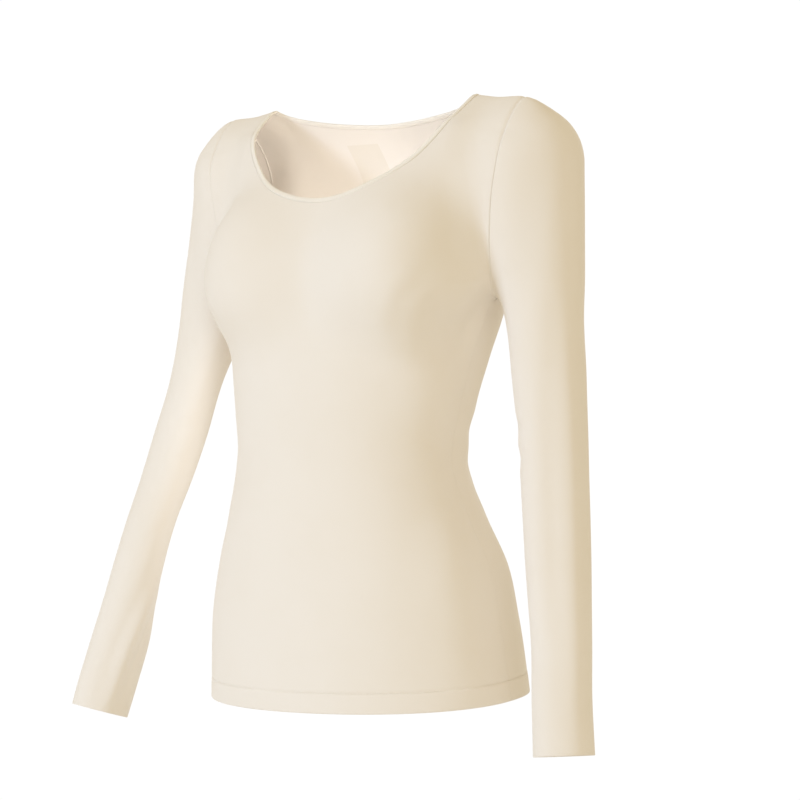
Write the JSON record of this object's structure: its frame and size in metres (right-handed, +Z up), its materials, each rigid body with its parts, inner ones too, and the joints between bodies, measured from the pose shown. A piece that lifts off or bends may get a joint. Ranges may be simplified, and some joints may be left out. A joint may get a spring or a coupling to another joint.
{
  "type": "thermal base layer top, long sleeves, in worn form",
  "caption": "Women's cream thermal base layer top with a wide scoop neck and long fitted sleeves, a thin smooth knit held in its hollow worn form with open neck, hem and cuffs.",
  "frame": {"origin": "Midway between the two neck points at their level, inside the neck opening, where the wearer's shoulders and neck hold the top.", "axes": "+Z up along the wearer, front faces -Y, the wearer's left is at +X"},
  "size_m": [0.5583, 0.2365, 0.6203],
  "materials": {
    "knit_front": "matte",
    "knit_back": "matte",
    "knit_sleeve_left": "matte",
    "knit_sleeve_right": "matte",
    "binding": "matte"
  },
  "bodies": {
    "root": {"front": "knit_front", "back": "knit_back", "sleeve_left": "knit_sleeve_left", "sleeve_right": "knit_sleeve_right", "neck_binding": "binding"}
  },
  "joints": []
}
